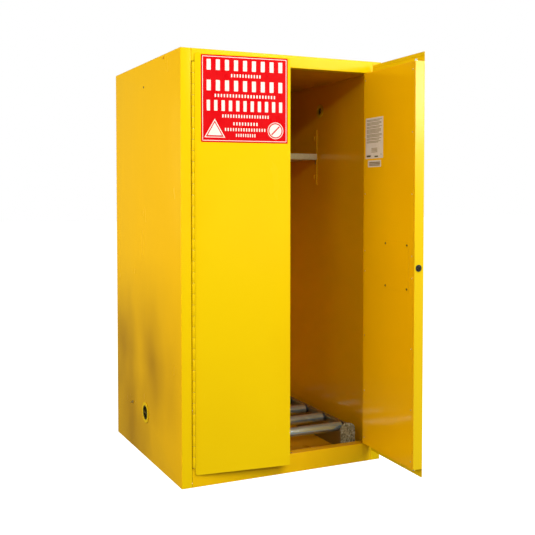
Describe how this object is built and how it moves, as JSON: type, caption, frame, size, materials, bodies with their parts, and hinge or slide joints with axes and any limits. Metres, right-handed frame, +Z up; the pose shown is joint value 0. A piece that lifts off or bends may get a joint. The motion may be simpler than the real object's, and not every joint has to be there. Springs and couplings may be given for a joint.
{
  "type": "flammable storage cabinet",
  "caption": "Double-walled yellow steel drum cabinet with two hinged doors, a paddle latch, a half shelf, a roller bed and vents.",
  "frame": {"origin": "on the floor, midway between the four levelling feet, at the middle of the cabinet's width and depth", "axes": "+Z up, doors at -Y, back at +Y, +X to the right of somebody who faces the doors"},
  "size_m": [0.885, 1.2655, 1.64],
  "materials": {
    "yellow_paint": "gloss powder coat",
    "inner_paint": "gloss powder coat",
    "galvanised": "galvanised sheet",
    "zinc": "bright zinc plate",
    "black_steel": "blackened steel",
    "rivet_metal": "bright blind rivet",
    "bright_steel": "plain steel",
    "handle_black": "semi-gloss black coat",
    "lock_chrome": "polished chrome",
    "brass": "dull brass",
    "bung_metal": "dark plated casting",
    "arrester": "perforated brass",
    "bumper_foam": "grey foam rubber",
    "black_plastic": "moulded black",
    "nylon": "dark nylon",
    "foot_rubber": "moulded pad",
    "label": "printed vinyl"
  },
  "bodies": {
    "cabinet": {"outer_side_left": "yellow_paint", "outer_side_right": "yellow_paint", "outer_back": "yellow_paint", "outer_top": "yellow_paint", "base_pan": "yellow_paint", "header_rail": "yellow_paint", "sill_rail": "yellow_paint", "strike_plates": "zinc", "levelling_feet": "foot_rubber", "inner_side_left": "inner_paint", "inner_side_right": "inner_paint", "inner_back": "inner_paint", "inner_ceiling": "inner_paint", "sump_pan": "inner_paint", "wall_spacers": "galvanised", "vent_collars": "yellow_paint", "flame_arresters": "arrester", "earth_terminal": "brass", "side_plug": "black_plastic", "shelf_tracks": "inner_paint", "shelf_clips": "zinc", "roller_rails": "galvanised", "rail_bumpers": "bumper_foam", "roller_axles": "bright_steel", "roller_bushes": "nylon", "hinge_frame_leaf_left": "yellow_paint", "hinge_frame_leaf_right": "yellow_paint", "hinge_pins": "bright_steel"},
    "left_door": {"left_door_skin": "yellow_paint", "left_door_pan": "inner_paint", "left_door_panel": "inner_paint", "left_door_rivets": "rivet_metal", "left_door_hinge_leaf": "yellow_paint", "left_door_strike": "zinc", "front_label": "label"},
    "right_door": {"right_door_skin": "yellow_paint", "right_door_pan": "inner_paint", "right_door_panel": "inner_paint", "right_door_rivets": "rivet_metal", "right_door_hinge_leaf": "yellow_paint", "latch_cover_plate": "inner_paint", "latch_screws": "black_steel", "handle_cup": "handle_black", "latch_bracket": "galvanised", "latch_guides": "nylon"},
    "paddle": {"paddle_handle": "handle_black", "paddle_shaft": "zinc"},
    "lock": {"lock_cylinder": "lock_chrome"},
    "hub": {"latch_hub": "zinc"},
    "top_rod": {"top_rod": "zinc"},
    "bottom_rod": {"bottom_rod": "zinc"},
    "centre_bolt": {"centre_bolt": "black_steel"},
    "shelf": {"shelf_tray": "galvanised"},
    "bung_lower": {"vent_bung_lower": "bung_metal"},
    "bung_upper": {"vent_bung_upper": "bung_metal"},
    "roller_1": {"roller_1": "zinc"},
    "roller_2": {"roller_2": "zinc"},
    "roller_3": {"roller_3": "zinc"},
    "roller_4": {"roller_4": "zinc"},
    "roller_5": {"roller_5": "zinc"}
  },
  "joints": [
    {"name": "left_door_hinge", "type": "hinge", "parent": "cabinet", "child": "left_door", "pos_m": [-0.3875, -0.438, 0.8], "axis": [0, 0, -1], "range_deg": [-5.8, 164.2]},
    {"name": "right_door_hinge", "type": "hinge", "parent": "cabinet", "child": "right_door", "pos_m": [0.3875, -0.438, 0.8], "axis": [0, 0, 1], "range_deg": [-87.5, 82.5]},
    {"name": "paddle_pull", "type": "hinge", "parent": "right_door", "child": "paddle", "pos_m": [0.36917, -0.69745, 0.829], "axis": [-0.0436, -0.999, 0], "range_deg": [0, 30], "stiffness_Nm_per_rad": 0.8, "springref_deg": -8.59},
    {"name": "lock_turn", "type": "hinge", "parent": "right_door", "child": "lock", "pos_m": [0.37616, -0.69775, 0.87], "axis": [-0.999, 0.0436, 0], "range_deg": [0, 90]},
    {"name": "hub_swing", "type": "hinge", "parent": "right_door", "child": "hub", "pos_m": [0.3526, -0.7788, 0.829], "axis": [-0.999, 0.0436, 0], "range_deg": [0, 30.5]},
    {"name": "top_rod_draw", "type": "slide", "parent": "right_door", "child": "top_rod", "axis": [0, 0, -1], "range_m": [0, 0.0086]},
    {"name": "bottom_rod_draw", "type": "slide", "parent": "right_door", "child": "bottom_rod", "axis": [0, 0, 1], "range_m": [0, 0.0086]},
    {"name": "centre_bolt_draw", "type": "slide", "parent": "right_door", "child": "centre_bolt", "axis": [0.0436, 0.999, 0], "range_m": [0, 0.0095]},
    {"name": "shelf_lift", "type": "slide", "parent": "cabinet", "child": "shelf", "axis": [0, 0, 1], "range_m": [0, 0.06]},
    {"name": "bung_lower_out", "type": "slide", "parent": "cabinet", "child": "bung_lower", "axis": [-1, 0, 0], "range_m": [0, 0.05]},
    {"name": "bung_upper_out", "type": "slide", "parent": "cabinet", "child": "bung_upper", "axis": [1, 0, 0], "range_m": [0, 0.05]},
    {"name": "roller_1_spin", "type": "hinge", "parent": "cabinet", "child": "roller_1", "pos_m": [0, -0.33, 0.127], "axis": [1, 0, 0], "continuous": true},
    {"name": "roller_2_spin", "type": "hinge", "parent": "cabinet", "child": "roller_2", "pos_m": [0, -0.169, 0.127], "axis": [1, 0, 0], "continuous": true},
    {"name": "roller_3_spin", "type": "hinge", "parent": "cabinet", "child": "roller_3", "pos_m": [0, -0.008, 0.127], "axis": [1, 0, 0], "continuous": true},
    {"name": "roller_4_spin", "type": "hinge", "parent": "cabinet", "child": "roller_4", "pos_m": [0, 0.153, 0.127], "axis": [1, 0, 0], "continuous": true},
    {"name": "roller_5_spin", "type": "hinge", "parent": "cabinet", "child": "roller_5", "pos_m": [0, 0.314, 0.127], "axis": [1, 0, 0], "continuous": true}
  ],
  "couplings": [
    {"joint": "hub_swing", "follows": "paddle_pull", "ratio": 1},
    {"joint": "top_rod_draw", "follows": "paddle_pull", "m_per_rad": 0.01614},
    {"joint": "bottom_rod_draw", "follows": "paddle_pull", "m_per_rad": 0.01614},
    {"joint": "centre_bolt_draw", "follows": "paddle_pull", "m_per_rad": 0.0178}
  ]
}
